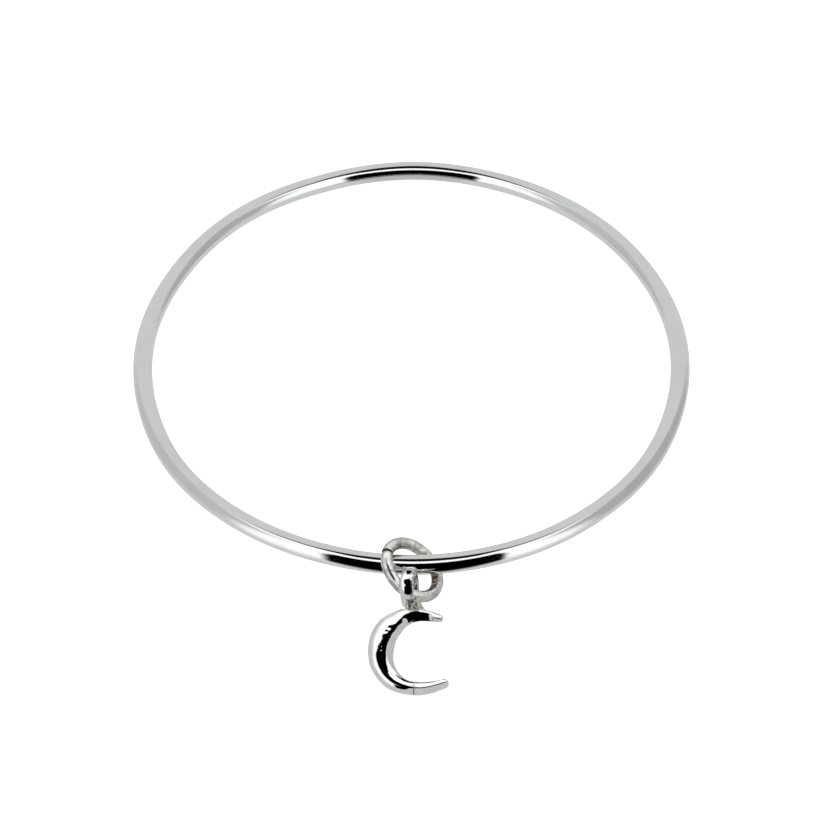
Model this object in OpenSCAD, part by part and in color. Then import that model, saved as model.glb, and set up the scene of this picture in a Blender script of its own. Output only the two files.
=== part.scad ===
// Charm bangle: a plain bangle of round silver wire, and a crescent moon charm
// that hangs from it by an open jump ring. Sizes are in millimetres.
// X runs across the bangle, Y from the charm at the front to the back, Z up.
// It lies on a table at z = 0. The back of the bangle and the low side of the
// jump ring rest on the table, and so does the belly of the crescent.

/* [Bangle] */
// Inner diameter of the bangle
inner_diameter = 65; // [58:0.5:72]
// Thickness of the bangle's wire
bangle_wire = 2.4; // [2:0.1:3]

/* [Jump ring] */
// Thickness of the jump ring's wire
ring_wire = 1.4; // [1.2:0.05:1.7]
// Free room across the jump ring beside the bangle's wire and the bail's wall
ring_play = 2.75; // [2.5:0.05:3.5]
// Width of the cut where the jump ring's ends meet
ring_cut = 0.25; // [0.15:0.05:0.5]
// Where the cut sits around the ring, from the high side toward the back
cut_angle = 13; // [0:1:40]

/* [Bail] */
// Thickness of the bail's wall
bail_wall = 0.75; // [0.6:0.05:1]
// Width of the bail along its hole
bail_width = 1.6; // [1.4:0.05:1.8]
// Free room in the bail's hole beside the jump ring's wire
bail_play = 1.8; // [1.7:0.05:2.4]
// How far the bail is turned on the charm
bail_turn = 4; // [0:0.5:8]

/* [Crescent] */
// Height of the crescent from its top edge to its lower edge
moon_height = 11.2; // [9:0.1:14]
// Greatest width of the crescent's body
moon_width = 3.15; // [2.4:0.05:3.8]
// Greatest thickness of the crescent's body
moon_thickness = 2.2; // [1.6:0.05:2.8]
// Sideways lean of the charm, its belly down
charm_roll = 8; // [0:0.5:10]

/* [Neck] */
// Width of the solder where it meets the bail
neck_top = 1.7; // [1.4:0.05:2]
// Width of the solder where it meets the crescent
neck_foot = 2.2; // [1.8:0.05:2.6]
// Distance between the bail and the crescent at the neck
neck_length = 0.35; // [0.2:0.05:1]

/* [Fit] */
// Smallest gap between pieces that hang in each other
gap = 0.1; // [0.08:0.01:0.2]

/* [Hidden] */
silver = [0.78, 0.78, 0.8];

// Bangle, jump ring and bail: radii of their middle lines. The bail sits to the
// left of the jump ring's front by bail_offset, a share of its width.
bangle_r = inner_diameter / 2 + bangle_wire / 2;
ring_r = (bangle_wire + bail_wall + ring_play) / 2 + ring_wire / 2;
bail_r = (ring_wire + bail_play + bail_wall) / 2;
bail_outer = 2 * bail_r + bail_wall;
bail_offset = 0.2;
bail_x = -bail_offset * bail_width;
bail_axis = [cos(charm_roll) * cos(bail_turn), -sin(bail_turn), sin(charm_roll) * cos(bail_turn)];

// The bail's wall is oval: this is its outline, [along the hole, from the axis]
bail_sides = 20;
bail_wall_points = [for (i = [0 : bail_sides - 1]) let(a = 360 * i / bail_sides)
  [bail_width / 2 * sin(a), bail_r + bail_wall / 2 * cos(a)]];

// How the pieces hang in each other. A pose is [lift, lean, slip, reach]:
// lift is the height of the bangle's wire at the front, lean the slope of the
// jump ring, slip how far its strand is off the middle of the bail's hole, and
// reach the distance from the bangle's wire to the bail's middle.
// Places are measured from the bangle's wire at the front, heights from the table.
function ring_height(pose) = ring_wire / 2 + ring_r * sin(pose[1]);
function bail_place(pose) =
  let(z = ring_height(pose) - bail_x * tan(pose[1]), rise = z - pose[0])
  [bail_x, -sqrt(pose[3] * pose[3] - rise * rise), z];
function ring_place(pose) =
  [0, bail_place(pose)[1] - pose[2] + sqrt(ring_r * ring_r - pow(bail_x / cos(pose[1]), 2)),
   ring_height(pose)];
function ring_point(pose, a) = ring_place(pose) + ring_r *
  [cos(a) * cos(pose[1]), sin(a), -cos(a) * sin(pose[1])];
function bangle_point(pose, a) = [bangle_r * sin(a), bangle_r * (1 - cos(a)), pose[0]];
function off_bangle(pose, p) =
  norm([norm([p[0], p[1] - bangle_r]) - bangle_r, p[2] - pose[0]]);
function off_bail(pose, p) =
  let(q = p - bail_place(pose), along = q * bail_axis, out = sqrt(q * q - along * along))
  min([for (w = bail_wall_points) norm([along - w[0], out - w[1]])]);
function high_gap(pose) = min([for (a = [110 : 4 : 250]) off_bangle(pose, ring_point(pose, a))])
  - (bangle_wire + ring_wire) / 2;
function low_gap(pose) = min([for (a = [-70 : 4 : 70]) off_bangle(pose, ring_point(pose, a))])
  - (bangle_wire + ring_wire) / 2;
function hole_gap(pose) = min([for (a = [-130 : 4 : -50]) off_bail(pose, ring_point(pose, a))])
  - ring_wire / 2;
function front_gap(pose) = min([for (a = [-4 : 0.5 : 4]) off_bail(pose, bangle_point(pose, a))])
  - bangle_wire / 2;

// Each round moves the pieces by what is missing from their gaps. The rates say
// how much of a missing gap goes into the slope and the slip.
lean_rate = 50;
slip_rate = 0.8;
function settle(pose, rounds) = rounds < 1 ? pose : settle([
  pose[0] + gap - low_gap(pose),
  pose[1] + (gap - high_gap(pose)) / ring_r * lean_rate,
  max(0, pose[2] + (hole_gap(pose) - gap) * slip_rate),
  pose[3] + gap - front_gap(pose)], rounds - 1);
first_lean = 35;
first_slip = 0.3 * bail_play;
settle_rounds = 14;
pose = settle([ring_wire + bangle_wire / 2 + gap, first_lean, first_slip,
  (bangle_wire + bail_outer) / 2 + gap], settle_rounds);

// Places in the bangle's own frame, with its middle at y = 0
back_z = bangle_wire / 2;
front_z = pose[0];
bangle_tilt = asin((front_z - back_z) / (2 * bangle_r));
bangle_z = (front_z + back_z) / 2;
front_y = -bangle_r * cos(bangle_tilt);
ring_lean = pose[1];
ring_y = front_y + ring_place(pose)[1];
ring_z = ring_place(pose)[2];
bail_y = front_y + bail_place(pose)[1];
bail_z = bail_place(pose)[2];
cut_open = 2 * asin(ring_cut / (2 * ring_r));

// Crescent: sections along its middle line, from the upper tip to the lower tip.
// across and along are shares of moon_height from the crescent's centre,
// width is a share of moon_width.
//        across   along  width
moon_rows = [
  [ 0.245,  0.322, 0.29],
  [ 0.215,  0.333, 0.32],
  [ 0.135,  0.357, 0.39],
  [ 0.030,  0.376, 0.47],
  [-0.065,  0.376, 0.60],
  [-0.165,  0.347, 0.77],
  [-0.268,  0.268, 0.96],
  [-0.330,  0.180, 1.00],
  [-0.360,  0.080, 1.00],
  [-0.372, -0.025, 0.96],
  [-0.366, -0.125, 0.91],
  [-0.337, -0.215, 0.84],
  [-0.285, -0.310, 0.76],
  [-0.210, -0.388, 0.67],
  [-0.105, -0.444, 0.54],
  [ 0.030, -0.468, 0.46],
  [ 0.150, -0.460, 0.40],
  [ 0.240, -0.443, 0.35],
  [ 0.290, -0.429, 0.32]
];
row_steps = 4;
sides = 24;
tip_steps = 5;
// How fast the body gets thinner where it gets narrower
thinning = 0.65;

// Smooth curve through the rows: value k of the table at place t, in row numbers
function row_at(i, k) = moon_rows[max(0, min(len(moon_rows) - 1, i))][k];
function curve(a, b, c, d, f) =
  0.5 * (2 * b + (c - a) * f + (2 * a - 5 * b + 4 * c - d) * f * f
  + (3 * b - a - 3 * c + d) * f * f * f);
function smooth(t, k) = let(i = floor(t), f = t - i)
  curve(row_at(i - 1, k), row_at(i, k), row_at(i + 1, k), row_at(i + 2, k), f);
function spine(t) = moon_height * [smooth(t, 0), smooth(t, 1)];
function unit(v) = v / norm(v);
function turned(t) = let(d = unit(spine(t + 0.02) - spine(t - 0.02))) [-d[1], d[0]];
function body_width(t) = moon_width * smooth(t, 2);
function body_thick(t) = moon_thickness * pow(smooth(t, 2), thinning);

// Each section is [middle, direction across, half width, half thickness].
// Past the first and last row the body ends in round tips.
last = len(moon_rows) - 1;
function section(t) = [spine(t), turned(t), body_width(t) / 2, body_thick(t) / 2];
function tip(t, way) = let(s = section(t), back = [s[1][1], -s[1][0]] * way)
  [for (i = [1 : tip_steps]) let(a = 90 * i / (tip_steps + 0.35))
    [s[0] + back * s[2] * sin(a), s[1], s[2] * cos(a), s[3] * cos(a)]];
function reversed(v) = [for (i = [len(v) - 1 : -1 : 0]) v[i]];
moon_sections = concat(
  reversed(tip(0, -1)),
  [for (i = [0 : last * row_steps]) section(i / row_steps)],
  tip(last, 1));

// The crescent hangs below the bail's centre, its upper edge at the neck. Its
// centre is to the right of the bail by moon_offset, a share of its height.
moon_offset = 0.07;
moon_x = moon_offset * moon_height;
moon_top = max([for (s = moon_sections) s[0][1] + s[2]]);
moon_drop = bail_outer / 2 + neck_length + moon_top;
function ring_points(s) = [for (j = [0 : sides - 1]) let(a = 360 * j / sides)
  [s[0][0] + s[1][0] * s[2] * cos(a) + moon_x,
   s[0][1] + s[1][1] * s[2] * cos(a) - moon_drop,
   s[3] * sin(a)]];
moon_points = [for (s = moon_sections) each ring_points(s)];
ring_count = len(moon_sections);
moon_faces = concat(
  [for (i = [0 : ring_count - 2], j = [0 : sides - 1]) let(n = (j + 1) % sides)
    [i * sides + j, (i + 1) * sides + n, i * sides + n]],
  [for (i = [0 : ring_count - 2], j = [0 : sides - 1]) let(n = (j + 1) % sides)
    [i * sides + j, (i + 1) * sides + j, (i + 1) * sides + n]],
  [[for (j = [0 : sides - 1]) j]],
  [[for (j = [sides - 1 : -1 : 0]) (ring_count - 1) * sides + j]]);

// The charm's own frame is rolled about its length and tipped down from the
// bail until the crescent just rests on the table. The angle is found by halving
// the range up to steepest, halvings times.
function rolled_z(p) = p[0] * sin(charm_roll) + p[2] * cos(charm_roll);
function lowest(tip_down) = bail_z + min([for (p = moon_points)
  p[1] * sin(tip_down) + rolled_z(p) * cos(tip_down)]);
function rest_angle(a, b, n) = let(m = (a + b) / 2)
  n < 1 ? m : lowest(m) > 0 ? rest_angle(m, b, n - 1) : rest_angle(a, m, n - 1);
steepest = 30;
halvings = 18;
charm_tip = rest_angle(0, steepest, halvings);
charm_front = bail_y + min([for (p = moon_points)
  p[1] * cos(charm_tip) - rolled_z(p) * sin(charm_tip)]);

// The whole piece is centred over the origin
bangle_back = -front_y + bangle_wire / 2;
shift_y = -(bangle_back + charm_front) / 2;

module torus(r, wire, angle = 360) {
  rotate_extrude(angle = angle, $fn = 96)
    translate([r, 0])
      circle(d = wire, $fn = 32);
}

// Plain closed hoop of round wire
module bangle() {
  color(silver)
    translate([0, shift_y, bangle_z])
      rotate([-bangle_tilt, 0, 0])
        torus(bangle_r, bangle_wire);
}

// Round wire bent to a ring, its cut ends facing each other
module jump_ring() {
  color(silver)
    translate([0, ring_y + shift_y, ring_z])
      rotate([0, ring_lean, 0])
        rotate([0, 0, 180 - cut_angle + cut_open / 2])
          torus(ring_r, ring_wire, 360 - cut_open);
}

// Crescent with a round, puffed body that thins to two blunt horns
module crescent() {
  polyhedron(points = moon_points, faces = moon_faces, convexity = 6);
}

// Oval band bent to a ring about the X axis
module bail() {
  rotate([0, 90, -bail_turn])
    rotate_extrude($fn = 72)
      polygon([for (w = bail_wall_points) [w[1], w[0]]]);
}

// Flared solder between the bail and the crescent, halfway between their centres.
// It goes into both by shares of the bail's wall and the crescent's width.
in_bail = 0.6;
in_moon = 0.2;
neck_lean = 10;
module neck() {
  reach = bail_wall * in_bail;
  length = reach + neck_length + moon_width * in_moon;
  translate([moon_x / 2, -bail_outer / 2 + reach, 0])
    rotate([90, 0, neck_lean])
      cylinder(d1 = neck_top, d2 = neck_foot, h = length, $fn = 32);
}

// Crescent, solder and bail are one solid
module moon_charm() {
  color(silver)
    translate([bail_x, bail_y + shift_y, bail_z])
      rotate([charm_tip, 0, 0])
        rotate([0, -charm_roll, 0])
          union() {
            crescent();
            bail();
            neck();
          }
}

bangle();
jump_ring();
moon_charm();
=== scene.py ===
import math
from collections import namedtuple

import bpy
import numpy as np
from mathutils import Matrix, Vector, noise


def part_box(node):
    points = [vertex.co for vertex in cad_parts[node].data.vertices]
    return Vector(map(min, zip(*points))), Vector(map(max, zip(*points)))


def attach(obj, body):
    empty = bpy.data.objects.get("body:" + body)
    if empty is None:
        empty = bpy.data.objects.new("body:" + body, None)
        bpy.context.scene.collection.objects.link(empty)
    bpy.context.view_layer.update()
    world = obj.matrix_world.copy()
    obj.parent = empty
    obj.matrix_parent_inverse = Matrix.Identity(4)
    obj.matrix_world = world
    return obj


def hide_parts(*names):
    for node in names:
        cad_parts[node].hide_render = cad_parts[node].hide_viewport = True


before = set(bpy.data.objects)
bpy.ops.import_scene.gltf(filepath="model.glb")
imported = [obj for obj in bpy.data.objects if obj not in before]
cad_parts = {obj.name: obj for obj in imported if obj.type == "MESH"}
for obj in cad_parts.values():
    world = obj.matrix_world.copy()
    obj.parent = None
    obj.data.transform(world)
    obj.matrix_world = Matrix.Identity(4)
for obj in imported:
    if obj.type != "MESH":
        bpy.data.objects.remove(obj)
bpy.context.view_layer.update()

MM = 0.001
TAU = 2 * math.pi
UP = np.array([0, 0, 1.0])

# Driving sizes, in millimetres and degrees
BANGLE_WIRE = 2.4
RING_WIRE = 1.4
RING_CUT = 0.25
CUT_ANGLE = 13.0
BAIL_WALL = 0.75
BAIL_WIDTH = 1.6
BAIL_OUTER = 4.7
BAIL_TURN = 4.0
BAIL_CENTRE = (-0.32, -29.255, 3.0)
MOON_HEIGHT = 11.2
MOON_WIDTH = 3.15
MOON_THICKNESS = 2.2
CHARM_ROLL = 8.0
CHARM_TIP = 8.797
NECK_TOP = 1.9
NECK_FOOT = 2.7
NECK_LENGTH = 0.35

# Waves of hand work on each surface: height in mm, wave length in mm, seed
HOOP_WAVES = ((0.004, 3.1, 2.0), (0.0012, 1.1, 5.0))
RING_WAVES = ((0.016, 1.5, 3.0), (0.008, 0.5, 7.0))
MOON_WAVES = ((0.030, 2.2, 1.0), (0.012, 0.9, 4.0), (0.0015, 0.4, 11.0))
BAIL_WAVES = ((0.016, 1.2, 9.0), (0.006, 0.45, 2.5))
SOLDER_LUMPS = ((0.12, 0.8, 6.0), (0.09, 0.35, 8.0), (0.02, 0.16, 3.0))

# Where the hoop is out of round: angle in degrees, how far out in mm, how wide in degrees
HOOP_DENTS = (
    (88, 0.19, 13), (113, -0.13, 11), (155, -0.24, 16), (214, 0.27, 15), (252, -0.12, 12),
    (300, 0.10, 12), (325, 0.24, 15), (26, -0.12, 16),
)

# Cut ends of the ring: the bevel as a share of the wire and how far it reaches in degrees,
# the places in degrees of the close rings of points there and where the even ones start,
# how far each end is bent aside in mm, and how far that reaches in degrees
BEVEL = 0.16
BEVEL_REACH = 0.9
BEVEL_PLACES = (0.0, 0.1, 0.25, 0.45, 0.7, 1.1, 1.6, 2.3)
BODY_START = 3.2
START_BEND = 0.10
END_BEND = 0.06
BEND_REACH = 14

# Tarnish in the ring's inner side, everywhere and on top of that along two stretches
# (amount, from, to and softness in degrees), where the inner side starts and how it fades
# as shares of the wire's radius, and painted shadow at the cut, in the same brown, with its reach in
# degrees
TARNISH = 0.30
TARNISH_STRETCHES = ((0.55, 125, 166, 20), (0.70, 318, 405, 22))
INNER_START = 0.125
INNER_FADE = 0.625
CUT_SHADOW = 2.5
CUT_SHADOW_REACH = 1.7

# Sections of the crescent from its upper tip to its lower tip. Across and along are
# shares of the height from the crescent's centre, width is a share of the body's width,
# thin of the thickness that this width gives, ridge is the place of the highest line
# from -1 outside to 1 inside, and flank says how far the section is filed flat beside
# it: on the outside where it is positive, on the inside where it is negative.
ACROSS, ALONG, WIDTH, THIN, RIDGE, FLANK = range(6)
MOON_ROWS = (
    (0.245, 0.322, 0.29, 0.80, 0.4, -0.8),
    (0.210, 0.335, 0.325, 0.84, 0.5, -0.9),
    (0.176, 0.346, 0.36, 0.85, 0.3, -1.0),
    (0.132, 0.357, 0.39, 0.88, -0.1, -1.0),
    (0.030, 0.376, 0.47, 0.95, -0.1, -1.0),
    (-0.065, 0.376, 0.60, 1.00, 0.1, -0.7),
    (-0.165, 0.347, 0.77, 1.00, 0.3, 0.0),
    (-0.268, 0.268, 0.96, 1.00, 0.4, 0.0),
    (-0.330, 0.180, 1.00, 1.00, 0.35, 0.0),
    (-0.360, 0.080, 1.00, 1.00, 0.2, 0.0),
    (-0.372, -0.025, 0.96, 1.00, 0.1, 0.0),
    (-0.366, -0.125, 0.91, 0.96, 0.0, 0.0),
    (-0.337, -0.215, 0.84, 0.90, -0.05, 0.0),
    (-0.285, -0.310, 0.76, 0.86, -0.1, 0.0),
    (-0.210, -0.388, 0.67, 0.90, -0.2, 0.0),
    (-0.105, -0.444, 0.54, 0.97, -0.25, 0.2),
    (0.030, -0.468, 0.46, 1.00, -0.4, 0.95),
    (0.150, -0.460, 0.40, 1.00, -0.4, 1.0),
    (0.240, -0.443, 0.35, 1.00, -0.3, 0.9),
    (0.290, -0.429, 0.32, 1.00, -0.3, 1.0),
)
# The thickness follows this power of the width's share
THICKNESS_POWER = 0.65
# How far right of the bail's middle the crescent's centre lies, as a share of its height
MOON_ASIDE = 0.07

# A filed section: how far its flat top falls toward its rounded side, how square that
# side's curves are, how soft its edge is, and how deep its plane goes outside or inside
TOP_FALL = 0.13
TOP_POWER = 7
SIDE_POWER = 8
EDGE_SOFTNESS = 0.13
OUTER_DROP = 0.6
INNER_DROP = 0.1

# The thin seam across the lower horn: its place in rows of the table and the stretch of
# rows with finer sections, the sizes of its groove and raised lips in mm, where it ends
# across the horn, and the place and width in mm of the dirt in it
SEAM_ROW = 15.64
SEAM_STRETCH = 0.15
SEAM_DEPTH = 0.07
SEAM_WIDTH = 0.045
LIP_HEIGHT = 0.015
LIP_WIDTH = 0.13
SEAM_INNER_END = 0.6
SEAM_OUTER_END = -1.8
DIRT_PLACE = -0.01
DIRT_WIDTH = 0.05

# Half width in mm from which the waves on the crescent have their full height
FULL_WAVES_FROM = 0.7
# Least half width in mm by which places across the crescent are measured
LEAST_HALF_WIDTH = 0.2

# Shallow dents in the crescent's face, from the bail's middle: x, y, radius, depth in mm
MOON_DENTS = ((-2.15, -5.60, 0.28, 0.035), (-2.55, -6.05, 0.20, 0.022), (-1.65, -5.10, 0.22, -0.012))
# Small pits in the crescent's face: x, y, height and radius in mm, and how soft their edges
# and how deep they are for their radius
MOON_PITS = ((-3.17, -8.38, 1.06, 0.07), (-3.12, -7.95, 1.06, 0.04))
PIT_SOFTNESS = 0.7
PIT_DEPTH = 4

# The neck: how deep it sits in the bail's wall and in the crescent's width, its waist and
# flare, its half thickness in mm and how much thinner its foot is, its place across, as a
# share of the crescent's height and in mm, and how far its foot leans to the right in mm
NECK_IN_BAIL = 0.9
NECK_IN_MOON = 0.22
NECK_WAIST = 0.08
NECK_FLARE = 1.5
NECK_THICK = 0.80
NECK_THINNING = 0.35
NECK_THINNING_POWER = 4
NECK_ASIDE = 0.035
NECK_SHIFT = 0.05
NECK_LEAN = 0.35

# Where the charm's surface is solder: middle from the joint and half sizes in mm, reach and
# softness as shares of these, and the waves of its ragged edge
JOINT = -BAIL_OUTER / 2 - NECK_LENGTH / 2
SOLDER_ASIDE = 0.55
SOLDER_BELOW = 0.15
SOLDER_HALF_WIDTH = 1.15
SOLDER_HALF_HEIGHT = 0.72
SOLDER_REACH = 1.15
SOLDER_FADE = 0.35
SOLDER_EDGE_WAVES = ((0.30, 0.5, 5.0),)

# Where the crescent's inner side and the bail's worn right side start and how they fade
INNER_SIDE = (0.35, 0.4)
WORN_SIDE = (0.28, 0.2)
WORN_SIDE_FOOT = 0.4

# Colours, as linear red, green and blue
HOOP_COLOUR = (0.935, 0.945, 0.95)
HOOP_CLOUD = (0.90, 0.905, 0.905)
RING_COLOUR = (0.88, 0.88, 0.865)
RING_BLOTCH = (0.54, 0.54, 0.535)
RING_FLECK = (0.52, 0.52, 0.51)
# The brown of the tarnish, also used for the painted shadow in the ring's cut
RING_TARNISH_AND_CUT_SHADOW = (0.14, 0.10, 0.06)
CHARM_COLOUR = (0.94, 0.945, 0.945)
CHARM_CLOUD = (0.88, 0.885, 0.885)
BAIL_SIDE = (0.50, 0.49, 0.47)
WORN_INSIDE = (0.60, 0.57, 0.52)
SOLDER_LIGHT = (0.84, 0.83, 0.80)
SOLDER_DARK = (0.55, 0.53, 0.48)
SOLDER_PIT = (0.15, 0.12, 0.09)
SEAM_COLOUR = (0.06, 0.05, 0.04)
FLOOR_COLOUR = (0.94, 0.945, 0.95, 1)
TENT_COLOUR = (0.993, 1.0, 0.985, 1)
WHITE = (1, 1, 1, 1)

# Roughness of the silver
MIRROR = 0.035
WIPED = 0.08
DULL = 0.10
BLOTCHED = 0.22
WORN = 0.25
FLECKED = 0.34
SOLDERED = 0.36
TARNISHED = 0.5

# Noise in the silver goes from 0 to 1: where each pattern starts to show, and shows in full
CLOUDS = (0.4, 0.7)
HOOP_WIPES = (0.35, 0.75)
CHARM_WIPES = (0.45, 0.75)
RING_BLOTCHES = (0.42, 0.70)
RING_ROUGH_BLOTCHES = (0.35, 0.7)
RING_FLECKS = (0.56, 0.72)
RING_ROUGH_FLECKS = (0.55, 0.72)
TARNISH_PATCHES = (0.30, 0.55)
BAIL_SCUFFS = (0.42, 0.60)
INNER_SCUFFS = (0.46, 0.80)
SOLDER_MOTTLE = (0.42, 0.62)
SOLDER_PITS = (0.54, 0.68)

# The light tents below are drawn by masks with soft edges, (from, to): a mask is 0 at the
# first value and 1 at the second. Headings are degrees from the camera's side, heights are
# degrees over the floor, and X, Y and Z are those of the direction from the tent's middle.
# Middles and half sizes of openings are in X and Y. Radii of tents are in metres.
WHITE_LEVEL = 1.08

# The hoop's tent, and its grey walls to the left and right
HOOP_TENT_RADIUS = 0.262
TENT_GREY = 0.62
LEFT_WALL = 0.51
RIGHT_WALL = 0.42
WALL_CHANGE_HEADING = (-20, 20)
WALL_FRONT_HEADING = (52, 70)
WALL_BACK_HEADING = (131, 115)
WALL_TOP_HEIGHT = (62, 46)
WALL_FOOT_HEIGHT = (-30, -2)
# White front of its roof, and white panels beside its opening
ROOF_FRONT_HEIGHT = (50, 62)
ROOF_BACK_Y = (0.16, 0.06)
ROOF_SIDE_HEADING = (104, 80)
PANEL_SIDE_HEADING = (68, 50)
PANEL_FOOT_HEIGHT = (-40, 12)
# Its dark opening in front: half widths in degrees to the left and right, how it widens
# with the square of the height, its lower edge, which rises beyond a flat middle stretch,
# and how far that edge fades, less toward the sides
OPENING_LEFT = 29.3
OPENING_RIGHT = 30.0
OPENING_CHANGE_HEADING = (-5, 5)
OPENING_SPREAD = 0.0031
OPENING_SIDE = (-1.8, 1.8)
OPENING_TOP_HEIGHT = (64, 59)
OPENING_FLAT = 12.0
OPENING_FOOT_HEIGHT = -26.0
OPENING_FOOT_RISE = 1.3
OPENING_FADE = 48.0
OPENING_FADE_LOSS = 1.1
# The dark gap across its roof, wide over the middle and narrow toward the sides: where the
# middle stretch ends in X, the far edge in Y with its slopes over the middle stretch and
# outside it, and the near edge in Y over the middle and outside, with its slope there
GAP_LEVEL = 0.01
GAP_MIDDLE_X = 0.2
GAP_FAR_Y = 0.48
GAP_FAR_SLOPE = 1.2
GAP_FAR_OUTER_SLOPE = 0.4
GAP_NEAR_MIDDLE_Y = -0.12
GAP_NEAR_OUTER_Y = 0.05
GAP_NEAR_CHANGE_X = (0.18, 0.24)
GAP_NEAR_OUTER_SLOPE = 0.27
GAP_EDGE = (0.0, 0.02)
GAP_FOOT_Z = (0.0, 0.1)
GAP_END_X = (0.8, 0.45)

# The charm's tent: its low and right parts are grey, and its dark openings are overhead,
# in front and low behind
CHARM_TENT_RADIUS = 7.0
CHARM_LOW = 0.565
CHARM_RISE_HEIGHT = (12, 38)
CHARM_RIGHT = 0.56
CHARM_RIGHT_X = (0.44, 0.58)
CHARM_RIGHT_Y = (-0.5, -0.3)
OVERHEAD_MIDDLE = (0.01, -0.2)
OVERHEAD_HALF = (0.61, 0.58)
OVERHEAD_SKEW = 0.52
OVERHEAD_EDGE = (1.12, 0.92)
OVERHEAD_FOOT_Z = (0.0, 0.05)
FRONT_SIDE_X = (0.62, 0.57)
FRONT_BACK_Y = (-0.3, -0.4)
FRONT_FOOT_HEIGHT = (12, 18)
BEHIND_MIDDLE_X = 0.04
BEHIND_SIDE_X = (0.26, 0.21)
BEHIND_FRONT_Y = (0.0, 0.1)
BEHIND_TOP_HEIGHT = (42, 38)
BEHIND_FOOT_HEIGHT = (0, 4)

# The ring's tent, with a small soft opening overhead
RING_TENT_RADIUS = 6.5
RING_LOW = 0.48
RING_HIGH = 1.0
RING_RISE_HEIGHT = (0, 45)
RING_OPENING_LEVEL = 0.06
RING_OPENING_MIDDLE = (-0.1, -0.1)
RING_OPENING_HALF = (0.36, 0.42)
RING_OPENING_EDGE = (1.4, 0.7)
RING_OPENING_FOOT_Z = (0.0, 0.1)
# How square the corners of the openings overhead are
OPENING_POWER = 2.6

# The board that the hoop's back mirrors as its floor, in mm: half width, front, back and
# depth under the part. On it is a dark patch, a painted reflection of the tent's dark opening
# in the floor, with soft sides and a soft back, almost black in front: its brightest level,
# where it starts to brighten, over which length, and how much black comes before that.
BOARD_SIDE = 16
BOARD_FRONT = 28
BOARD_BACK = 47
BOARD_DEPTH = 0.1
BOARD_LEVEL = 0.62
PATCH_SIDE = (7.5, 4)
PATCH_BACK = (46, 41)
PATCH_LEVEL = 0.52
PATCH_START = 25
PATCH_LENGTH = 15.5
PATCH_BLACK = 0.18

# Floor, with its size in metres and its depth under the part in mm, and world
FLOOR_SIZE = 40
FLOOR_DEPTH = 0.02
FLOOR_GLOW = 0.72
WORLD_GLOW = 0.8

# The camera looks down at the hoop's plane by its slope, from so many hoop radii away, and
# is then turned a little down and aside, in degrees. Clips are in metres.
CAMERA_SLOPE = 46.9
CAMERA_RADII = 11.0
CAMERA_DOWN = 1.235
CAMERA_ASIDE = -0.249
SENSOR_WIDTH = 36.0
PHOTO_WIDTH_PIXELS = 840
FOCAL_LENGTH_PIXELS = 2950
NEAR_CLIP = 0.01
FAR_CLIP = 60.0

Section = namedtuple("Section", "here across wide thick ridge flank")
Direction = namedtuple("Direction", "heading height x y z")


# Helpers for meshes: points are in mm, in grids of rings by sides


def ripple(points, length, seed):
    """Smooth noise between -1 and 1 at points in mm; length is the size of its waves."""
    points = np.asarray(points) / length + seed
    flat = [noise.noise(Vector(p)) for p in points.reshape(-1, 3)]
    return np.array(flat).reshape(points.shape[:-1])


def waves(terms, points):
    """Sum of noise over points, from rows of height, wave length and seed."""
    return sum(height * ripple(points, length, seed) for height, length, seed in terms)


def unit(v):
    """Vectors of the same directions and length 1."""
    return v / np.linalg.norm(v, axis=-1, keepdims=True)


def rotation(axis, degrees):
    """Matrix that turns by this angle about an axis."""
    return np.array(Matrix.Rotation(math.radians(degrees), 3, axis))


def full_turn(count):
    """Evenly spaced angles round a full turn, in radians."""
    return TAU * np.arange(count) / count


def ramp(value, start, width):
    """0 up to start, 1 from width beyond it, straight between."""
    return np.clip((value - start) / width, 0, 1)


def window(angle, low, high, soft):
    """1 between two angles in degrees, 0 outside, with soft ends; they may pass 360."""
    middle = (low + high) / 2
    away = np.abs((angle - middle + 180) % 360 - 180)
    return ramp((high - low) / 2 + soft - away, 0, soft)


def grid_of(x, y, z):
    """Grid of points or directions from their three parts."""
    return np.stack(np.broadcast_arrays(x, y, z), axis=-1)


def skin(name, grid, closed=False):
    """A mesh over a grid of points in mm; unless it is closed, flat faces close its ends."""
    count, sides = grid.shape[:2]
    faces = []
    for i in range(count if closed else count - 1):
        k = (i + 1) % count
        for j in range(sides):
            n = (j + 1) % sides
            faces.append((i * sides + j, i * sides + n, k * sides + n, k * sides + j))
    points = grid.reshape(-1, 3)
    quads = np.array(faces)
    a, b, c, d = (points[quads[:, k]] for k in range(4))
    volume = np.sum(np.cross(b - a, c - a) * a) + np.sum(np.cross(c - a, d - a) * a)
    if not closed:
        faces.append(tuple(range(sides - 1, -1, -1)))
        faces.append(tuple((count - 1) * sides + j for j in range(sides)))
    mesh = bpy.data.meshes.new(name)
    mesh.from_pydata((points * MM).tolist(), [], faces)
    if volume < 0:
        mesh.flip_normals()
    obj = bpy.data.objects.new(name, mesh)
    bpy.context.scene.collection.objects.link(obj)
    mesh.shade_smooth()
    return obj


def paint(obj, name, values):
    """Keeps one number a vertex, which the material reads by this name."""
    layer = obj.data.attributes.new(name, "FLOAT", "POINT")
    layer.data.foreach_set("value", np.asarray(values, float).ravel())


def place_of(node, wire):
    """Middle, radius of the middle line and slope in degrees of a round CAD node, in mm."""
    low, high = [np.array(corner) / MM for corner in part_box(node)]
    size = (high - low) / 2 - wire / 2
    radius = max(size)
    return (low + high) / 2, radius, math.degrees(math.asin(size[2] / radius))


def wire_ways(angle, sides):
    """Ways out from the middle of a ring, and from its wire's middle line to the surface."""
    radial = grid_of(np.cos(angle), np.sin(angle), 0)
    around = full_turn(sides)[None, :, None]
    return radial, radial[:, None] * np.cos(around) + UP * np.sin(around)


# Bangle


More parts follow.
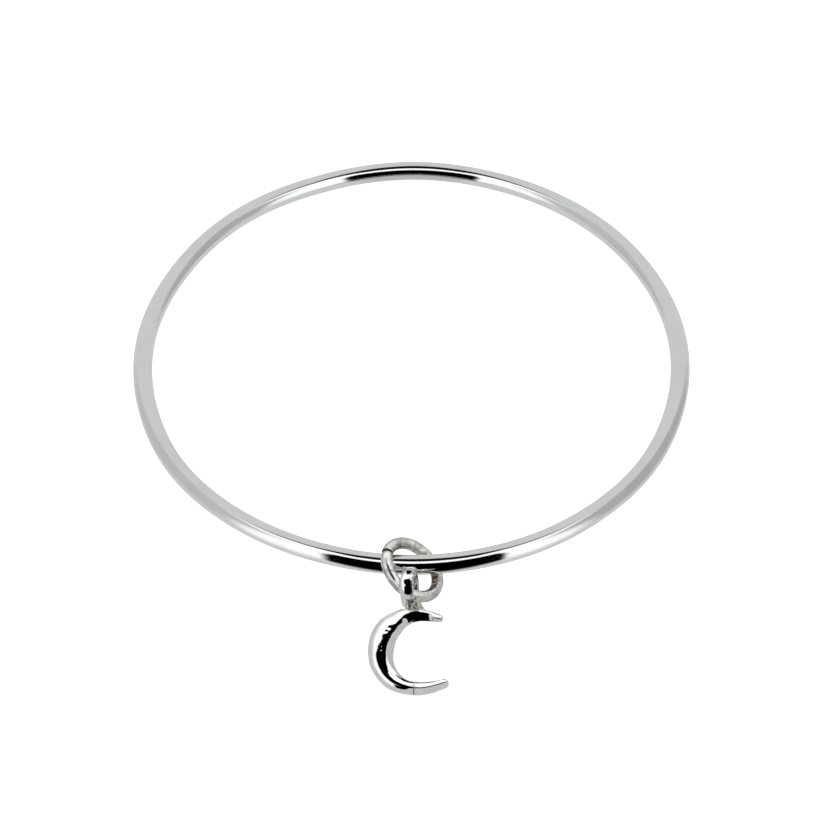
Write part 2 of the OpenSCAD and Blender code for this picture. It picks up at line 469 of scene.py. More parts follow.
def hoop_radius(angle, radius):
    """Radius of the hoop's middle line at angles in degrees, with its dents."""
    out = 0.0
    for at, depth, width in HOOP_DENTS:
        away = (angle - at + 180) % 360 - 180
        out = out + depth * np.exp(-((away / width) ** 2))
    return radius + out


def make_bangle(rings=960, sides=40):
    """Closed hoop of round wire, a little out of round."""
    middle, radius, tilt = place_of("bangle", BANGLE_WIRE)
    angle = full_turn(rings)
    radial, way = wire_ways(angle, sides)
    middle_line = radial * hoop_radius(np.degrees(angle), radius)[:, None]
    grid = middle_line[:, None] + way * BANGLE_WIRE / 2
    grid += way * waves(HOOP_WAVES, grid)[..., None]
    return skin("bangle_hoop", grid @ rotation("X", -tilt).T + middle, closed=True)


# Jump ring


def ring_tarnish_and_cut_shadow(degrees, from_cut, sides):
    """Tarnish at each point of the ring, with painted shadow at the cut, from the angle of each ring of
    points.
    """
    inner = ramp(-np.cos(full_turn(sides)), INNER_START, INNER_FADE)
    along = TARNISH + sum(amount * window(degrees, low, high, soft)
                          for amount, low, high, soft in TARNISH_STRETCHES)
    # Painted shadow in the gap between the ring's ends: the cut ends are painted dark brown
    at_cut = CUT_SHADOW * np.exp(-(from_cut / CUT_SHADOW_REACH) ** 2)
    return np.maximum(np.outer(along, inner), at_cut[:, None])


def make_ring(rings=300, sides=40):
    """Open ring of round wire, with bevelled ends that are bent a little aside."""
    middle, radius, lean = place_of("jump_ring", RING_WIRE)
    cut = 2 * math.degrees(math.asin(RING_CUT / (2 * radius)))
    span = 360 - cut
    bevel = np.array(BEVEL_PLACES)
    body = np.linspace(BODY_START, span - BODY_START, rings)
    from_start = np.concatenate([bevel, body, span - bevel[::-1]])
    from_end = span - from_start
    from_cut = np.minimum(from_start, from_end)
    degrees = 180 - CUT_ANGLE + cut / 2 + from_start
    radial, way = wire_ways(np.radians(degrees), sides)
    shrink = 1 - BEVEL * np.exp(-from_cut / BEVEL_REACH)
    grid = (radial * radius)[:, None] + way * (RING_WIRE / 2 * shrink)[:, None, None]
    bend = START_BEND * np.exp(-from_start / BEND_REACH) - END_BEND * np.exp(-from_end / BEND_REACH)
    grid[..., 2] += bend[:, None]
    grid += way * waves(RING_WAVES, grid)[..., None]
    obj = skin("jump_ring_wire", grid @ rotation("Y", lean).T + middle)
    # Painted on as tarnish, with the shade in the gap at the cut painted dark brown as well
    paint(obj, "tarnish_and_cut_shadow", ring_tarnish_and_cut_shadow(degrees, from_cut, sides))
    return obj


# Moon charm, built in its own frame, with the bail's middle at zero


def row_curve(t, column):
    """A column of the crescent's table at place t, on a smooth curve through the rows."""
    i = math.floor(t)
    f = t - i
    last = len(MOON_ROWS) - 1
    a, b, c, d = [MOON_ROWS[max(0, min(last, i + n))][column] for n in (-1, 0, 1, 2)]
    return 0.5 * (2 * b + (c - a) * f + (2 * a - 5 * b + 4 * c - d) * f * f
                  + (3 * b - a - 3 * c + d) * f ** 3)


def moon_line(t):
    """Point of the crescent's middle line at place t, in shares of its height."""
    return np.array([row_curve(t, ACROSS), row_curve(t, ALONG)])


def moon_section(t, step=0.02):
    """The crescent's section at place t: middle, way across, half sizes, ridge and flank."""
    way = unit(moon_line(t + step) - moon_line(t - step))
    share = row_curve(t, WIDTH)
    thick = MOON_THICKNESS * share ** THICKNESS_POWER / 2 * row_curve(t, THIN)
    across = np.array([-way[1], way[0]])
    return Section(MOON_HEIGHT * moon_line(t), across, MOON_WIDTH * share / 2, thick,
                   row_curve(t, RIDGE), row_curve(t, FLANK))


def rounded_tip(end, way, rings=10, overrun=0.35):
    """Sections that round off an end of the crescent; the last is small but no point."""
    along = np.array([end.across[1], -end.across[0]]) * way
    out = []
    for i in range(1, rings + 1):
        angle = math.radians(90 * i / (rings + overrun))
        shrink = math.cos(angle)
        out.append(Section(end.here + along * end.wide * math.sin(angle), end.across, end.wide * shrink,
                           end.thick * shrink, end.ridge * shrink, end.flank * shrink))
    return out


def moon_sections(per_row=15, at_seam=31):
    """All sections of the crescent from tip to tip, closer together beside the seam."""
    last = len(MOON_ROWS) - 1
    places = set(np.round(np.linspace(0, last, per_row * last + 1), 4))
    places |= set(np.round(SEAM_ROW + np.linspace(-SEAM_STRETCH, SEAM_STRETCH, at_seam), 4))
    body = [moon_section(t) for t in sorted(places)]
    return rounded_tip(body[0], -1)[::-1] + body + rounded_tip(body[-1], 1)


def filed_height(side, edge, drop):
    """Height over a filed section: rounded from the edge to 1, one plane down to -drop at -1."""
    beyond = np.clip((side - edge) / (1 - edge), 0, 1)
    rounded = np.sqrt(np.clip(1 - beyond ** TOP_POWER, 0, 1))
    plane = 1 - (1 + drop) * (edge - side) / (1 + edge)
    return np.where(side > edge, rounded * (1 - TOP_FALL * (side - edge)), plane)


def section_height(u, up, ridge, flank, samples=7):
    """Height round a section, from its place across and the sine of the angle round it."""
    share = min(abs(flank), 1.0)
    drop = OUTER_DROP if flank > 0 else INNER_DROP
    side = u if flank > 0 else -u
    edge = ridge if flank > 0 else -ridge
    spread = np.linspace(-EDGE_SOFTNESS, EDGE_SOFTNESS, samples)
    filed = sum(filed_height(np.maximum(side + d, -1), edge, drop) for d in spread) / samples
    filed = np.minimum(filed, np.sqrt(np.clip(1 - np.maximum(side, 0) ** SIDE_POWER, 0, 1)))
    off = u - ridge
    even = np.sqrt(np.clip(1 - (off / (1 - np.sign(off) * ridge)) ** 2, 0, 1))
    sunk = drop * share * ((1 - side) / 2) ** 2
    return np.where(up > 0, even * (1 - share) + filed * share, up * (1 - sunk) - sunk)


def crescent_middle():
    """The crescent's centre, from the bail's middle."""
    top = max(s.here[1] + s.wide for s in moon_sections())
    return np.array([MOON_ASIDE * MOON_HEIGHT, -BAIL_OUTER / 2 - NECK_LENGTH - top])


def place_across(points):
    """Place of points across the crescent, from -1 on its outside to 1 on its inside."""
    sections = moon_sections(per_row=8)
    middles = np.array([s.here for s in sections]) + crescent_middle()
    out = np.zeros(len(points))
    for i, p in enumerate(points[:, :2]):
        k = np.argmin(np.sum((middles - p) ** 2, axis=1))
        out[i] = (p - middles[k]) @ sections[k].across / max(sections[k].wide, LEAST_HALF_WIDTH)
    return np.clip(out, -1, 1)


def seam_place(points):
    """How far points are from the seam in mm, and how much of it their place across gets."""
    seam = moon_section(SEAM_ROW)
    away = points[..., :2] - seam.here - crescent_middle()
    off = away @ np.array([seam.across[1], -seam.across[0]])
    u = away @ seam.across / seam.wide
    return off, np.clip(SEAM_INNER_END - u, 0, 1) * (u > SEAM_OUTER_END)


def crescent_surface(sides):
    """Points of the smooth crescent, ways out of it, and how high the waves are there."""
    sections = moon_sections()
    centre = crescent_middle()
    u = np.cos(full_turn(sides))
    up = np.sin(full_turn(sides))
    grid = np.zeros((len(sections), sides, 3))
    way = np.zeros_like(grid)
    for i, s in enumerate(sections):
        grid[i, :, :2] = s.here + centre + np.outer(u * s.wide, s.across)
        grid[i, :, 2] = section_height(u, up, s.ridge, s.flank) * s.thick
        way[i, :, :2] = np.outer(u * s.thick, s.across)
        way[i, :, 2] = up * s.wide
    keep = np.array([[min(1.0, s.wide / FULL_WAVES_FROM)] for s in sections])
    return grid, unit(way), keep


def make_crescent(sides=104):
    """Puffed crescent with filed horns, hand-polished waves, a seam and shallow dents."""
    grid, way, keep = crescent_surface(sides)
    off, seam = seam_place(grid)
    groove = LIP_HEIGHT * np.exp(-(off / LIP_WIDTH) ** 2) - SEAM_DEPTH * np.exp(-(off / SEAM_WIDTH) ** 2)
    grid += way * (waves(MOON_WAVES, grid) * keep + groove * seam)[..., None]
    for x, y, radius, depth in MOON_DENTS:
        far = ((grid[..., 0] - x) ** 2 + (grid[..., 1] - y) ** 2) / radius ** 2
        grid[..., 2] -= depth * np.exp(-far) * (grid[..., 2] > 0)
    return skin("charm_crescent", grid)


def make_bail(rings=180, sides=48):
    """Band with an oval section that stands edge-on over the crescent."""
    middle = BAIL_OUTER / 2 - BAIL_WALL / 2
    turned = full_turn(rings)[:, None]
    around = full_turn(sides)[None, :]
    out = middle + BAIL_WALL / 2 * np.cos(around)
    along = BAIL_WIDTH / 2 * np.sin(around)
    grid = grid_of(along, out * np.cos(turned), out * np.sin(turned))
    lean = np.cos(around) / BAIL_WALL
    way = unit(grid_of(np.sin(around) / BAIL_WIDTH, lean * np.cos(turned), lean * np.sin(turned)))
    grid += way * waves(BAIL_WAVES, grid)[..., None]
    return skin("charm_bail", grid @ rotation("Z", -BAIL_TURN).T, closed=True)


def make_neck(rings=52, sides=80):
    """Lumpy solder that flares from the bail down into the crescent."""
    top = -BAIL_OUTER / 2 + BAIL_WALL * NECK_IN_BAIL
    foot = -BAIL_OUTER / 2 - NECK_LENGTH - MOON_WIDTH * NECK_IN_MOON
    f = np.linspace(0, 1, rings)[:, None]
    around = full_turn(sides)[None, :]
    waist = 1.0 - NECK_WAIST * np.sin(math.pi * f)
    wide = (NECK_TOP + (NECK_FOOT - NECK_TOP) * f ** NECK_FLARE) / 2 * waist
    thick = NECK_THICK * waist * (1 - NECK_THINNING * f ** NECK_THINNING_POWER)
    x = NECK_ASIDE * MOON_HEIGHT - NECK_SHIFT + NECK_LEAN * f
    y = top + (foot - top) * f
    grid = grid_of(x + wide * np.cos(around), y, thick * np.sin(around))
    way = grid_of(np.cos(around), 0, np.sin(around))
    grid += way * waves(SOLDER_LUMPS, grid)[..., None]
    return skin("charm_neck", grid)


def join(whole, parts):
    """Joins parts to a whole, into a single closed mesh."""
    for part in parts:
        union = whole.modifiers.new("union", "BOOLEAN")
        union.operation = "UNION"
        union.solver = "EXACT"
        union.object = part
        bpy.context.view_layer.objects.active = whole
        bpy.ops.object.modifier_apply(modifier=union.name)
        bpy.data.objects.remove(part)


def solder_share(points):
    """1 on the solder round the joint, 0 away from it, with a ragged edge."""
    across = (points[:, 0] - SOLDER_ASIDE) / SOLDER_HALF_WIDTH
    along = (points[:, 1] - JOINT + SOLDER_BELOW) / SOLDER_HALF_HEIGHT
    reach = SOLDER_REACH + waves(SOLDER_EDGE_WAVES, points)
    return ramp(reach - np.sqrt(across ** 2 + along ** 2), 0, SOLDER_FADE)


def seam_share(points):
    """1 in the bottom of the seam, 0 away from it."""
    off, seam = seam_place(points)
    return np.exp(-((off - DIRT_PLACE) / DIRT_WIDTH) ** 2) * seam


def charm_place(points):
    """Where points of the charm's own frame lie in the shared frame, in mm."""
    turn = rotation("X", CHARM_TIP) @ rotation("Y", -CHARM_ROLL)
    return np.asarray(points) @ turn.T + np.array(BAIL_CENTRE)


def make_charm():
    """Crescent, solder and bail, joined, painted and laid in their place."""
    whole = make_crescent()
    join(whole, (make_bail(), make_neck()))
    whole.name = "moon_charm_silver"
    mesh = whole.data
    points = np.zeros(len(mesh.vertices) * 3)
    mesh.vertices.foreach_get("co", points)
    points = points.reshape(-1, 3) / MM
    paint(whole, "solder", solder_share(points))
    paint(whole, "inner_side", ramp(place_across(points), *INNER_SIDE))
    paint(whole, "seam", seam_share(points))
    paint(whole, "rough_side", ramp(points[:, 0], *WORN_SIDE) * ramp(points[:, 1], JOINT, WORN_SIDE_FOOT))
    mesh.vertices.foreach_set("co", (charm_place(points) * MM).ravel())
    mesh.shade_smooth()
    return whole


# Materials


class Nodes:
    """Short names for the nodes of one material: each call gives an output socket."""

    # Sockets of the mix node, which has one set for each kind of value
    FACTOR = 0
    NUMBER_A, NUMBER_B, NUMBER_OUT = 2, 3, 0
    COLOUR_A, COLOUR_B, COLOUR_OUT = 6, 7, 2

    def __init__(self, tree):
        self.tree = tree

    def new(self, kind):
        """A new node of this kind."""
        return self.tree.nodes.new("ShaderNode" + kind)

    def put(self, socket, value):
        """Feeds a socket from another one, or sets it to a constant."""
        if isinstance(value, bpy.types.NodeSocket):
            self.tree.links.new(value, socket)
        else:
            socket.default_value = value

    def math(self, operation, a, b=0.0, c=0.0, clamp=False):
        """A calculation with up to three numbers, kept from 0 to 1 if clamped."""
        node = self.new("Math")
        node.operation = operation
        node.use_clamp = clamp
        for socket, value in zip(node.inputs, (a, b, c)):
            self.put(socket, value)
        return node.outputs[0]

    def step(self, value, low, high):
        """0 below low and 1 above high, smooth between; falls instead if high is the smaller."""
        node = self.new("MapRange")
        node.interpolation_type = "SMOOTHSTEP"
        flip = high < low
        self.put(node.inputs["Value"], value)
        node.inputs["From Min"].default_value = min(low, high)
        node.inputs["From Max"].default_value = max(low, high)
        node.inputs["To Min"].default_value = 1.0 if flip else 0.0
        node.inputs["To Max"].default_value = 0.0 if flip else 1.0
        return node.outputs[0]

    def both(self, *masks):
        """1 where every mask is 1."""
        out = masks[0]
        for mask in masks[1:]:
            out = self.math("MULTIPLY", out, mask)
        return out

    def either(self, *masks):
        """The highest of the masks."""
        out = masks[0]
        for mask in masks[1:]:
            out = self.math("MAXIMUM", out, mask)
        return out

    def blend(self, a, b, mask):
        """The number a where the mask is 0, b where it is 1."""
        node = self.new("Mix")
        self.put(node.inputs[self.FACTOR], mask)
        self.put(node.inputs[self.NUMBER_A], a)
        self.put(node.inputs[self.NUMBER_B], b)
        return node.outputs[self.NUMBER_OUT]

    def put_colour(self, socket, value):
        """Feeds a colour socket from another one, or sets it to red, green and blue."""
        self.put(socket, value if isinstance(value, bpy.types.NodeSocket) else (*value, 1))

    def tint(self, a, b, mask):
        """The colour a where the mask is 0, b where it is 1."""
        node = self.new("Mix")
        node.data_type = "RGBA"
        self.put(node.inputs[self.FACTOR], mask)
        self.put_colour(node.inputs[self.COLOUR_A], a)
        self.put_colour(node.inputs[self.COLOUR_B], b)
        return node.outputs[self.COLOUR_OUT]

    def layer(self, name):
        """The number painted on the mesh under this name."""
        node = self.new("Attribute")
        node.attribute_name = name
        return node.outputs["Fac"]

    def place(self):
        """The point's place on its piece."""
        return self.new("TexCoord").outputs["Object"]

    def split(self, vector):
        """X, Y and Z of a vector."""
        node = self.new("SeparateXYZ")
        self.put(node.inputs[0], vector)
        return node.outputs

    def grain(self, length, detail=2.0):
        """Noise from 0 to 1 with waves of this length in mm."""
        node = self.new("TexNoise")
        self.put(node.inputs["Vector"], self.place())
        node.inputs["Scale"].default_value = 1 / (length * MM)
        node.inputs["Detail"].default_value = detail
        return node.outputs[0]

    def near(self, centre, radius, soft):
        """1 within this radius of a point, both in mm, and 0 outside."""
        node = self.new("VectorMath")
        node.operation = "DISTANCE"
        self.put(node.inputs[0], self.place())
        node.inputs[1].default_value = [c * MM for c in centre]
        return self.step(node.outputs["Value"], radius * (1 + soft) * MM, radius * (1 - soft) * MM)

    def relief(self, height, depth, below=None):
        """Normals of a surface raised by this height from 0 to 1 times depth in mm."""
        node = self.new("Bump")
        self.put(node.inputs["Height"], height)
        node.inputs["Distance"].default_value = depth * MM
        node.inputs["Strength"].default_value = 1.0
        if below is not None:
            self.put(node.inputs["Normal"], below)
        return node.outputs[0]


def metal(name):
    """A metal material, the short names for its nodes, and its shader's inputs."""
    mat = bpy.data.materials.new(name)
    mat.use_nodes = True
    shader = mat.node_tree.nodes["Principled BSDF"]
    shader.inputs["Metallic"].default_value = 1.0
    return mat, Nodes(mat.node_tree), shader.inputs


def hoop_silver():
    """Mirror polish with faint clouds."""
    mat, n, put = metal("polished_silver")
    cloud = n.grain(length=2.5)
    fine = n.grain(length=0.3, detail=4.0)
    n.put(put["Base Color"], n.tint(HOOP_COLOUR, HOOP_CLOUD, n.step(cloud, *CLOUDS)))
    n.put(put["Roughness"], n.blend(MIRROR, WIPED, n.step(fine, *HOOP_WIPES)))
    n.put(put["Normal"], n.relief(fine, depth=0.0006))
    return mat


def ring_silver():
    """Dull, blotchy silver with flecks, brown tarnish and painted shadow at the cut."""
    mat, n, put = metal("ring_silver")
    blotch = n.grain(length=0.9, detail=3.0)
    fleck = n.grain(length=0.28, detail=4.0)
    patches = n.step(n.grain(length=0.45, detail=3.0), *TARNISH_PATCHES)
    # Brown tarnish, and painted shadow in the gap at the cut
    tarnish_and_cut_shadow = n.math("MULTIPLY", n.layer("tarnish_and_cut_shadow"), patches, clamp=True)
    base = n.tint(RING_COLOUR, RING_BLOTCH, n.step(blotch, *RING_BLOTCHES))
    base = n.tint(base, RING_FLECK, n.step(fleck, *RING_FLECKS))
    n.put(put["Base Color"], n.tint(base, RING_TARNISH_AND_CUT_SHADOW, tarnish_and_cut_shadow))
    rough = n.blend(DULL, BLOTCHED, n.step(blotch, *RING_ROUGH_BLOTCHES))
    rough = n.blend(rough, FLECKED, n.step(fleck, *RING_ROUGH_FLECKS))
    n.put(put["Roughness"], n.blend(rough, TARNISHED, tarnish_and_cut_shadow))
    dents = n.relief(n.grain(length=0.9, detail=1.0), depth=0.05)
    n.put(put["Normal"], n.relief(fleck, depth=0.008, below=dents))
    return mat


def charm_silver():
    """Mirror polish, worn on the inside and the bail's side, with grey pitted solder."""
    mat, n, put = metal("charm_silver")
    cloud = n.grain(length=1.2, detail=3.0)
    fleck = n.grain(length=0.25, detail=3.0)
    pit = n.grain(length=0.34, detail=3.0)
    solder = n.layer("solder")
    side = n.both(n.layer("rough_side"), n.step(n.grain(length=0.4, detail=3.0), *BAIL_SCUFFS))
    worn = n.both(n.layer("inner_side"), n.step(n.grain(length=0.22, detail=4.0), *INNER_SCUFFS))
    mottle = n.step(n.grain(length=0.5), *SOLDER_MOTTLE)
    base = n.tint(CHARM_COLOUR, CHARM_CLOUD, n.step(cloud, *CLOUDS))
    base = n.tint(base, BAIL_SIDE, side)
    base = n.tint(base, WORN_INSIDE, worn)
    base = n.tint(base, n.tint(SOLDER_LIGHT, SOLDER_DARK, mottle), solder)
    base = n.tint(base, SOLDER_PIT, n.both(solder, n.step(pit, *SOLDER_PITS)))
    n.put(put["Base Color"], n.tint(base, SEAM_COLOUR, n.layer("seam")))
    rough = n.blend(MIRROR, WIPED, n.step(fleck, *CHARM_WIPES))
    rough = n.blend(rough, WORN, n.either(n.layer("rough_side"), worn))
    n.put(put["Roughness"], n.blend(rough, SOLDERED, solder))
    height = n.blend(n.math("MULTIPLY", fleck, 0.02), pit, solder)
    for x, y, z, radius in MOON_PITS:
        hole = n.near(charm_place((x, y, z)), radius, PIT_SOFTNESS)
        height = n.math("SUBTRACT", height, n.math("MULTIPLY", hole, radius * PIT_DEPTH))
    n.put(put["Normal"], n.relief(height, depth=0.06))
    return mat


# Light tents


def hide_from_camera(obj):
    """Leaves a thing to be seen in the silver alone."""
    obj.visible_camera = False
    obj.visible_diffuse = False
    obj.visible_shadow = False
    obj.visible_transmission = False
    obj.visible_volume_scatter = False


def direction(n):
    """Heading in degrees from the camera's side, height in degrees, and X, Y, Z of the direction."""
    straight = n.new("VectorMath")
    straight.operation = "NORMALIZE"
    n.put(straight.inputs[0], n.new("NewGeometry").outputs["Position"])
    x, y, z = n.split(straight.outputs[0])
    heading = n.math("MULTIPLY", n.math("ARCTAN2", x, n.math("MULTIPLY", y, -1.0)), 180 / math.pi)
    height = n.math("MULTIPLY", n.math("ARCSINE", z), 180 / math.pi)
    return Direction(heading, height, x, y, z)


def glow(name, strength, see_through=False):
    """A material that shines with the given strength, and may let what is behind show too."""
    mat = bpy.data.materials.new(name)
    mat.use_nodes = True
    tree = mat.node_tree
    tree.nodes.clear()
    n = Nodes(tree)
    shine = n.new("Emission")
    shine.inputs["Color"].default_value = TENT_COLOUR
    n.put(shine.inputs["Strength"], strength(n))
    surface = shine.outputs[0]
    if see_through:
        add = n.new("AddShader")
        n.put(add.inputs[0], surface)
        n.put(add.inputs[1], n.new("BsdfTransparent").outputs[0])
        surface = add.outputs[0]
    n.put(n.new("OutputMaterial").inputs["Surface"], surface)
    mat.cycles.emission_sampling = "NONE"
    return mat


def tent(name, radius, piece, pattern):
    """A light tent round a piece: a dome that only this piece reflects."""
    bpy.ops.mesh.primitive_uv_sphere_add(segments=96, ring_count=48, radius=radius)
    obj = bpy.context.object
    obj.name = name
    obj.data.materials.append(glow(name, pattern, see_through=True))
    hide_from_camera(obj)
    receivers = bpy.data.collections.new(name)
    receivers.objects.link(piece)
    obj.light_linking.receiver_collection = receivers


def side_walls(n, d):
    """1 on the walls to the left and right."""
    away = n.math("ABSOLUTE", d.heading)
    return n.both(n.step(away, *WALL_FRONT_HEADING), n.step(away, *WALL_BACK_HEADING),
                  n.step(d.height, *WALL_TOP_HEIGHT), n.step(d.height, *WALL_FOOT_HEIGHT))


def white_panels(n, d):
    """1 on the front of the roof and on the panels beside the opening."""
    away = n.math("ABSOLUTE", d.heading)
    roof = n.both(n.step(d.height, *ROOF_FRONT_HEIGHT), n.step(d.y, *ROOF_BACK_Y),
                  n.step(away, *ROOF_SIDE_HEADING))
    panel = n.both(n.step(away, *PANEL_SIDE_HEADING), n.step(d.height, *PANEL_FOOT_HEIGHT))
    return n.either(roof, panel)


def front_opening(n, d):
    """1 in the opening, which is wider toward its top and has a soft lower edge."""
    away = n.math("ABSOLUTE", d.heading)
    half = n.blend(OPENING_LEFT, OPENING_RIGHT, n.step(d.heading, *OPENING_CHANGE_HEADING))
    squared = n.math("POWER", n.math("MAXIMUM", d.height, 0.0), 2.0)
    room = n.math("SUBTRACT", n.math("ADD", n.math("MULTIPLY", squared, OPENING_SPREAD), half), away)
    beside = n.math("MAXIMUM", n.math("SUBTRACT", away, OPENING_FLAT), 0.0)
    foot = n.math("ADD", n.math("MULTIPLY", beside, OPENING_FOOT_RISE), OPENING_FOOT_HEIGHT)
    fade = n.math("SUBTRACT", OPENING_FADE, n.math("MULTIPLY", beside, OPENING_FADE_LOSS))
    below = n.math("DIVIDE", n.math("SUBTRACT", foot, d.height), fade)
    return n.both(n.step(room, *OPENING_SIDE), n.step(d.height, *OPENING_TOP_HEIGHT),
                  n.step(below, 1.0, 0.0))


def roof_gap(n, d):
    """1 in the gap across the roof."""
    side = n.math("ABSOLUTE", d.x)
    outer = n.math("MAXIMUM", n.math("SUBTRACT", side, GAP_MIDDLE_X), 0.0)
    drop = n.math("MULTIPLY", n.math("MINIMUM", side, GAP_MIDDLE_X), GAP_FAR_SLOPE)
    outer_drop = n.math("MULTIPLY", outer, GAP_FAR_OUTER_SLOPE)
    far = n.math("SUBTRACT", n.math("SUBTRACT", GAP_FAR_Y, drop), outer_drop)
    bend = n.blend(GAP_NEAR_MIDDLE_Y, GAP_NEAR_OUTER_Y, n.step(side, *GAP_NEAR_CHANGE_X))
    near = n.math("ADD", bend, n.math("MULTIPLY", outer, GAP_NEAR_OUTER_SLOPE))
    inside = n.math("MINIMUM", n.math("SUBTRACT", d.y, near), n.math("SUBTRACT", far, d.y))
    return n.both(n.step(inside, *GAP_EDGE), n.step(d.z, *GAP_FOOT_Z), n.step(side, *GAP_END_X))


def hoop_light(n):
    """Light grey tent with a dark front opening, white front panels and a dark gap in its roof."""
    d = direction(n)
    wall = n.blend(LEFT_WALL, RIGHT_WALL, n.step(d.heading, *WALL_CHANGE_HEADING))
    level = n.blend(TENT_GREY, wall, side_walls(n, d))
    level = n.blend(level, WHITE_LEVEL, white_panels(n, d))
    level = n.blend(level, 0.0, front_opening(n, d))
    return n.blend(level, GAP_LEVEL, roof_gap(n, d))


def overhead_opening(n, d, middle, half, skew=0.0):
    """Below 1 in a rounded opening overhead, in X and Y of the direction, above 1 outside."""
    x = n.math("ADD", d.x, n.math("MULTIPLY", d.y, skew))
    across = n.math("ABSOLUTE", n.math("DIVIDE", n.math("SUBTRACT", x, middle[0]), half[0]))
    along = n.math("ABSOLUTE", n.math("DIVIDE", n.math("SUBTRACT", d.y, middle[1]), half[1]))
    return n.math("ADD", n.math("POWER", across, OPENING_POWER), n.math("POWER", along, OPENING_POWER))


def charm_light(n):
    """The tent as the charm sees it: its openings are overhead, in front and low behind."""
    d = direction(n)
    level = n.blend(CHARM_LOW, WHITE_LEVEL, n.step(d.height, *CHARM_RISE_HEIGHT))
    level = n.blend(level, CHARM_RIGHT, n.both(n.step(d.x, *CHARM_RIGHT_X), n.step(d.y, *CHARM_RIGHT_Y)))
    inside = overhead_opening(n, d, OVERHEAD_MIDDLE, OVERHEAD_HALF, OVERHEAD_SKEW)
    overhead = n.both(n.step(inside, *OVERHEAD_EDGE), n.step(d.z, *OVERHEAD_FOOT_Z))
    front = n.both(n.step(n.math("ABSOLUTE", d.x), *FRONT_SIDE_X), n.step(d.y, *FRONT_BACK_Y),
                   n.step(d.height, *FRONT_FOOT_HEIGHT))
    aside = n.math("ABSOLUTE", n.math("SUBTRACT", d.x, BEHIND_MIDDLE_X))
    behind = n.both(n.step(aside, *BEHIND_SIDE_X), n.step(d.y, *BEHIND_FRONT_Y),
                    n.step(d.height, *BEHIND_TOP_HEIGHT), n.step(d.height, *BEHIND_FOOT_HEIGHT))
    return n.blend(level, 0.0, n.either(overhead, front, behind))


def ring_light(n):
    """The tent as the ring sees it, with a small soft opening."""
    d = direction(n)
    level = n.blend(RING_LOW, RING_HIGH, n.step(d.height, *RING_RISE_HEIGHT))
    inside = overhead_opening(n, d, RING_OPENING_MIDDLE, RING_OPENING_HALF)
    overhead = n.both(n.step(inside, *RING_OPENING_EDGE), n.step(d.z, *RING_OPENING_FOOT_Z))
    return n.blend(level, RING_OPENING_LEVEL, overhead)


# Studio


def board_light(n):
    """The floor as the hoop's back mirrors it, with the dark opening's reflection in it painted as a dark
    patch.
    """
    x, y, z = n.split(n.new("NewGeometry").outputs["Position"])
    close = n.math("DIVIDE", n.math("SUBTRACT", y, PATCH_START * MM), PATCH_LENGTH * MM, clamp=True)
    rise = n.math("MULTIPLY_ADD", close, 1 + PATCH_BLACK, -PATCH_BLACK, clamp=True)
    dark = n.math("MULTIPLY", n.math("SQRT", rise), PATCH_LEVEL)
    sides = n.step(n.math("ABSOLUTE", x), *(edge * MM for edge in PATCH_SIDE))
    back = n.step(y, *(edge * MM for edge in PATCH_BACK))
    return n.blend(BOARD_LEVEL, dark, n.both(sides, back))


def make_board():
    """The floor just inside the hoop's back, as the silver mirrors it."""
    corners = [(-BOARD_SIDE, BOARD_FRONT), (BOARD_SIDE, BOARD_FRONT),
               (BOARD_SIDE, BOARD_BACK), (-BOARD_SIDE, BOARD_BACK)]
    mesh = bpy.data.meshes.new("floor_board")
    mesh.from_pydata([(x * MM, y * MM, -BOARD_DEPTH * MM) for x, y in corners], [], [(0, 1, 2, 3)])
    mesh.materials.append(glow("floor_board", board_light))
    board = bpy.data.objects.new("floor_board", mesh)
    bpy.context.scene.collection.objects.link(board)
    hide_from_camera(board)


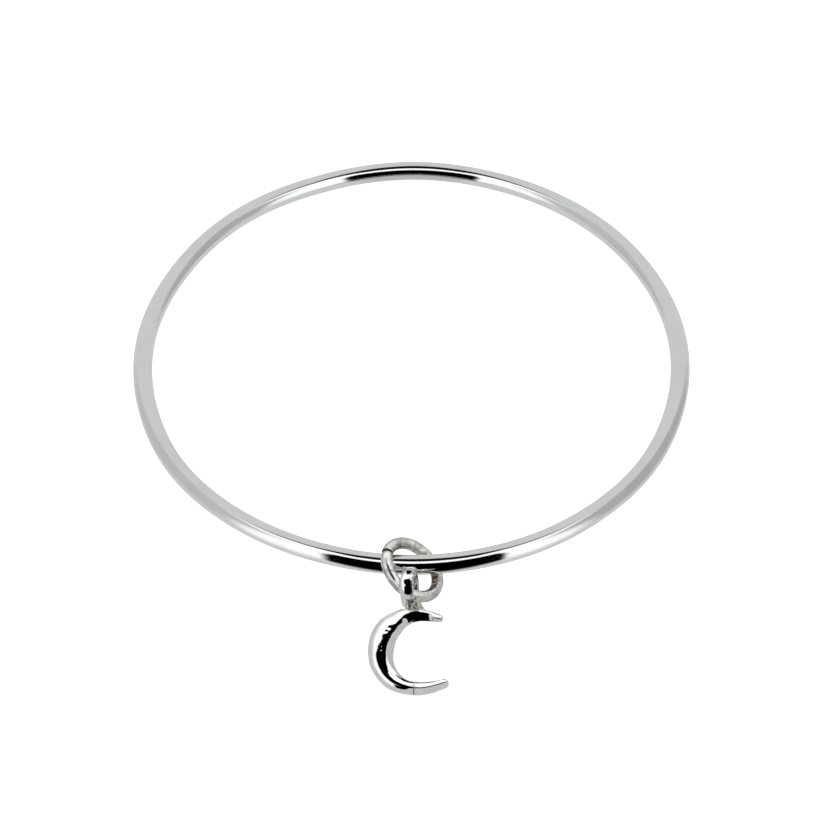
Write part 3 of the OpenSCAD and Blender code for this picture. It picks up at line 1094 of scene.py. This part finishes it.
def make_floor():
    """Pale floor that shines a little, as a light table does, and isn't mirrored."""
    bpy.ops.mesh.primitive_plane_add(size=FLOOR_SIZE, location=(0, 0, -FLOOR_DEPTH * MM))
    floor = bpy.context.object
    floor.name = "floor"
    mat = bpy.data.materials.new("pale_floor")
    mat.use_nodes = True
    put = mat.node_tree.nodes["Principled BSDF"].inputs
    put["Base Color"].default_value = FLOOR_COLOUR
    put["Emission Color"].default_value = WHITE
    put["Emission Strength"].default_value = FLOOR_GLOW
    put["Roughness"].default_value = 0.9
    put["Specular IOR Level"].default_value = 0.1
    floor.data.materials.append(mat)
    floor.visible_glossy = False


def make_world():
    """Even white light from all sides, which the silver doesn't mirror."""
    world = bpy.data.worlds.new("studio")
    bpy.context.scene.world = world
    world.use_nodes = True
    back = world.node_tree.nodes["Background"].inputs
    back["Color"].default_value = WHITE
    back["Strength"].default_value = WORLD_GLOW
    world.cycles_visibility.glossy = False
    bpy.context.scene.view_settings.view_transform = "Standard"


def make_camera():
    """The photo's camera, placed from the hoop's middle."""
    middle, radius, tilt = place_of("bangle", BANGLE_WIRE)
    slope = math.radians(CAMERA_SLOPE + tilt)
    place = middle + CAMERA_RADII * radius * np.array([0, -math.cos(slope), math.sin(slope)])
    look = slope + math.radians(CAMERA_DOWN)
    pan = math.radians(CAMERA_ASIDE)
    back = Vector((math.sin(pan) * math.cos(look), -math.cos(pan) * math.cos(look), math.sin(look)))
    right = Vector((math.cos(pan), math.sin(pan), 0))
    turn = Matrix((right, back.cross(right), back)).transposed()
    data = bpy.data.cameras.new("camera")
    data.sensor_width = SENSOR_WIDTH
    data.lens = FOCAL_LENGTH_PIXELS / PHOTO_WIDTH_PIXELS * SENSOR_WIDTH
    data.clip_start = NEAR_CLIP
    data.clip_end = FAR_CLIP
    camera = bpy.data.objects.new("camera", data)
    bpy.context.scene.collection.objects.link(camera)
    camera.matrix_world = Matrix.Translation(place * MM) @ turn.to_4x4()
    bpy.context.scene.camera = camera


def dress(piece, node, material):
    """Gives a piece its material, hides the CAD node it stands for, and attaches the piece to the root
    body.
    """
    piece.data.materials.append(material)
    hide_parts(node)
    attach(piece, "root")
    return piece


make_camera()
hoop = dress(make_bangle(), "bangle", hoop_silver())
ring = dress(make_ring(), "jump_ring", ring_silver())
charm = dress(make_charm(), "moon_charm", charm_silver())
make_floor()
make_board()
make_world()
tent("hoop_tent", HOOP_TENT_RADIUS, hoop, hoop_light)
tent("ring_tent", RING_TENT_RADIUS, ring, ring_light)
tent("charm_tent", CHARM_TENT_RADIUS, charm, charm_light)
